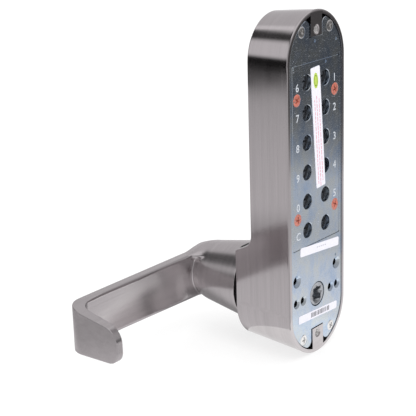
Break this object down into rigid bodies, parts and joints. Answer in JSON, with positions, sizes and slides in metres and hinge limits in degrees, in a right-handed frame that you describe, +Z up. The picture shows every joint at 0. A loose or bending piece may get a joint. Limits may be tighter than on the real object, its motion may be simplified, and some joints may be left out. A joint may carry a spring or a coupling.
{
  "type": "push-button door lock",
  "caption": "Mechanical push-button code lock, outside unit: rounded-end case, two columns of buttons, return lever handle, inset code plate and square spindle socket at the back.",
  "frame": {"origin": "on the lever and spindle axis, in the plane of the door face (the rim of the case)", "axes": "+Y into the door along the spindle axis; +Z up along the case; +X to the right seen from the front, the way the lever points"},
  "size_m": [0.158, 0.0923, 0.213],
  "materials": {
    "satin_nickel": "satin brushed nickel plating on a casting",
    "button_steel": "fine brushed steel",
    "tumbler_steel": "dark plated steel",
    "spring_steel": "drawn spring wire",
    "zinc_back_plate": "blue-white zinc passivation",
    "zinc_code_plate": "blue-white zinc passivation",
    "red_screw": "screws marked with red paint",
    "plated_screw": "bright zinc plating",
    "label_paper": "white paper label",
    "zinc_casting": "as-cast zinc",
    "black_nylon": "black nylon",
    "plain_steel": "machined steel",
    "hub_steel": "sintered and plated steel",
    "cylinder_brass": "machined brass with a nickel face"
  },
  "bodies": {
    "housing": {"front_housing": "satin_nickel", "back_plate": "zinc_back_plate", "code_plate": "zinc_code_plate", "code_plate_screws": "red_screw", "back_plate_screws": "plated_screw", "tumbler_block": "zinc_casting", "lever_collar": "black_nylon", "long_label": "label_paper", "upper_label": "label_paper", "lower_label": "label_paper", "slide_spring": "spring_steel", "lever_spring": "spring_steel", "button_spring_1": "spring_steel", "button_spring_2": "spring_steel", "button_spring_3": "spring_steel", "button_spring_4": "spring_steel", "button_spring_5": "spring_steel", "button_spring_plain": "spring_steel", "button_spring_6": "spring_steel", "button_spring_7": "spring_steel", "button_spring_8": "spring_steel", "button_spring_9": "spring_steel", "button_spring_0": "spring_steel", "button_spring_c": "spring_steel"},
    "key_1": {"button_1": "button_steel"},
    "code_1": {"tumbler_1": "tumbler_steel"},
    "key_2": {"button_2": "button_steel"},
    "code_2": {"tumbler_2": "tumbler_steel"},
    "key_3": {"button_3": "button_steel"},
    "code_3": {"tumbler_3": "tumbler_steel"},
    "key_4": {"button_4": "button_steel"},
    "code_4": {"tumbler_4": "tumbler_steel"},
    "key_5": {"button_5": "button_steel"},
    "code_5": {"tumbler_5": "tumbler_steel"},
    "key_plain": {"button_plain": "button_steel"},
    "code_plain": {"tumbler_plain": "tumbler_steel"},
    "key_6": {"button_6": "button_steel"},
    "code_6": {"tumbler_6": "tumbler_steel"},
    "key_7": {"button_7": "button_steel"},
    "code_7": {"tumbler_7": "tumbler_steel"},
    "key_8": {"button_8": "button_steel"},
    "code_8": {"tumbler_8": "tumbler_steel"},
    "key_9": {"button_9": "button_steel"},
    "code_9": {"tumbler_9": "tumbler_steel"},
    "key_0": {"button_0": "button_steel"},
    "code_0": {"tumbler_0": "tumbler_steel"},
    "key_c": {"button_c": "button_steel"},
    "code_c": {"tumbler_c": "tumbler_steel"},
    "lever": {"lever_handle": "satin_nickel", "lever_shaft": "plain_steel", "lever_cam": "plain_steel", "lever_circlip": "plain_steel", "lever_set_screw": "plain_steel", "cylinder_body": "cylinder_brass"},
    "plug": {"cylinder_plug": "cylinder_brass", "cylinder_tailpiece": "cylinder_brass"},
    "hub": {"spindle_hub": "hub_steel"},
    "slide": {"locking_slide": "plain_steel"}
  },
  "joints": [
    {"name": "press_1", "type": "slide", "parent": "housing", "child": "key_1", "axis": [0, 1, 0], "range_m": [0, 0.003], "stiffness_N_per_m": 400, "springref_m": -0.002, "deforming": ["button_spring_1"]},
    {"name": "set_1", "type": "hinge", "parent": "key_1", "child": "code_1", "pos_m": [-0.0096, -0.009, 0.1336], "axis": [0, 1, 0], "range_deg": [0, 180]},
    {"name": "press_2", "type": "slide", "parent": "housing", "child": "key_2", "axis": [0, 1, 0], "range_m": [0, 0.003], "stiffness_N_per_m": 400, "springref_m": -0.002, "deforming": ["button_spring_2"]},
    {"name": "set_2", "type": "hinge", "parent": "key_2", "child": "code_2", "pos_m": [-0.0096, -0.009, 0.1156], "axis": [0, 1, 0], "range_deg": [0, 180]},
    {"name": "press_3", "type": "slide", "parent": "housing", "child": "key_3", "axis": [0, 1, 0], "range_m": [0, 0.003], "stiffness_N_per_m": 400, "springref_m": -0.002, "deforming": ["button_spring_3"]},
    {"name": "set_3", "type": "hinge", "parent": "key_3", "child": "code_3", "pos_m": [-0.0096, -0.009, 0.0976], "axis": [0, 1, 0], "range_deg": [0, 180]},
    {"name": "press_4", "type": "slide", "parent": "housing", "child": "key_4", "axis": [0, 1, 0], "range_m": [0, 0.003], "stiffness_N_per_m": 400, "springref_m": -0.002, "deforming": ["button_spring_4"]},
    {"name": "set_4", "type": "hinge", "parent": "key_4", "child": "code_4", "pos_m": [-0.0096, -0.009, 0.0796], "axis": [0, 1, 0], "range_deg": [0, 180]},
    {"name": "press_5", "type": "slide", "parent": "housing", "child": "key_5", "axis": [0, 1, 0], "range_m": [0, 0.003], "stiffness_N_per_m": 400, "springref_m": -0.002, "deforming": ["button_spring_5"]},
    {"name": "set_5", "type": "hinge", "parent": "key_5", "child": "code_5", "pos_m": [-0.0096, -0.009, 0.0616], "axis": [0, 1, 0], "range_deg": [0, 180]},
    {"name": "press_plain", "type": "slide", "parent": "housing", "child": "key_plain", "axis": [0, 1, 0], "range_m": [0, 0.003], "stiffness_N_per_m": 400, "springref_m": -0.002, "deforming": ["button_spring_plain"]},
    {"name": "set_plain", "type": "hinge", "parent": "key_plain", "child": "code_plain", "pos_m": [-0.0096, -0.009, 0.0436], "axis": [0, 1, 0], "range_deg": [0, 180]},
    {"name": "press_6", "type": "slide", "parent": "housing", "child": "key_6", "axis": [0, 1, 0], "range_m": [0, 0.003], "stiffness_N_per_m": 400, "springref_m": -0.002, "deforming": ["button_spring_6"]},
    {"name": "set_6", "type": "hinge", "parent": "key_6", "child": "code_6", "pos_m": [0.0096, -0.009, 0.1336], "axis": [0, 1, 0], "range_deg": [0, 180]},
    {"name": "press_7", "type": "slide", "parent": "housing", "child": "key_7", "axis": [0, 1, 0], "range_m": [0, 0.003], "stiffness_N_per_m": 400, "springref_m": -0.002, "deforming": ["button_spring_7"]},
    {"name": "set_7", "type": "hinge", "parent": "key_7", "child": "code_7", "pos_m": [0.0096, -0.009, 0.1156], "axis": [0, 1, 0], "range_deg": [0, 180]},
    {"name": "press_8", "type": "slide", "parent": "housing", "child": "key_8", "axis": [0, 1, 0], "range_m": [0, 0.003], "stiffness_N_per_m": 400, "springref_m": -0.002, "deforming": ["button_spring_8"]},
    {"name": "set_8", "type": "hinge", "parent": "key_8", "child": "code_8", "pos_m": [0.0096, -0.009, 0.0976], "axis": [0, 1, 0], "range_deg": [0, 180]},
    {"name": "press_9", "type": "slide", "parent": "housing", "child": "key_9", "axis": [0, 1, 0], "range_m": [0, 0.003], "stiffness_N_per_m": 400, "springref_m": -0.002, "deforming": ["button_spring_9"]},
    {"name": "set_9", "type": "hinge", "parent": "key_9", "child": "code_9", "pos_m": [0.0096, -0.009, 0.0796], "axis": [0, 1, 0], "range_deg": [0, 180]},
    {"name": "press_0", "type": "slide", "parent": "housing", "child": "key_0", "axis": [0, 1, 0], "range_m": [0, 0.003], "stiffness_N_per_m": 400, "springref_m": -0.002, "deforming": ["button_spring_0"]},
    {"name": "set_0", "type": "hinge", "parent": "key_0", "child": "code_0", "pos_m": [0.0096, -0.009, 0.0616], "axis": [0, 1, 0], "range_deg": [0, 180]},
    {"name": "press_c", "type": "slide", "parent": "housing", "child": "key_c", "axis": [0, 1, 0], "range_m": [0, 0.003], "stiffness_N_per_m": 400, "springref_m": -0.002, "deforming": ["button_spring_c"]},
    {"name": "set_c", "type": "hinge", "parent": "key_c", "child": "code_c", "pos_m": [0.0096, -0.009, 0.0436], "axis": [0, 1, 0], "range_deg": [0, 180]},
    {"name": "lever_turn", "type": "hinge", "parent": "housing", "child": "lever", "pos_m": [0, 0, 0], "axis": [0, 1, 0], "range_deg": [0, 45], "stiffness_Nm_per_rad": 0.6, "springref_deg": -34.38, "deforming": ["lever_spring"]},
    {"name": "hub_turn", "type": "hinge", "parent": "housing", "child": "hub", "pos_m": [0, 0, 0], "axis": [0, 1, 0], "range_deg": [0, 45]},
    {"name": "slide_lift", "type": "slide", "parent": "housing", "child": "slide", "axis": [0, 0, 1], "range_m": [0, 0.0031], "deforming": ["slide_spring"]},
    {"name": "key_turn", "type": "hinge", "parent": "lever", "child": "plug", "pos_m": [0, -0.08, 0], "axis": [0, 1, 0], "range_deg": [0, 90]}
  ],
  "couplings": [
    {"joint": "hub_turn", "follows": "lever_turn", "ratio": 1},
    {"joint": "slide_lift", "follows": "lever_turn", "m_per_rad": 0.0038}
  ]
}
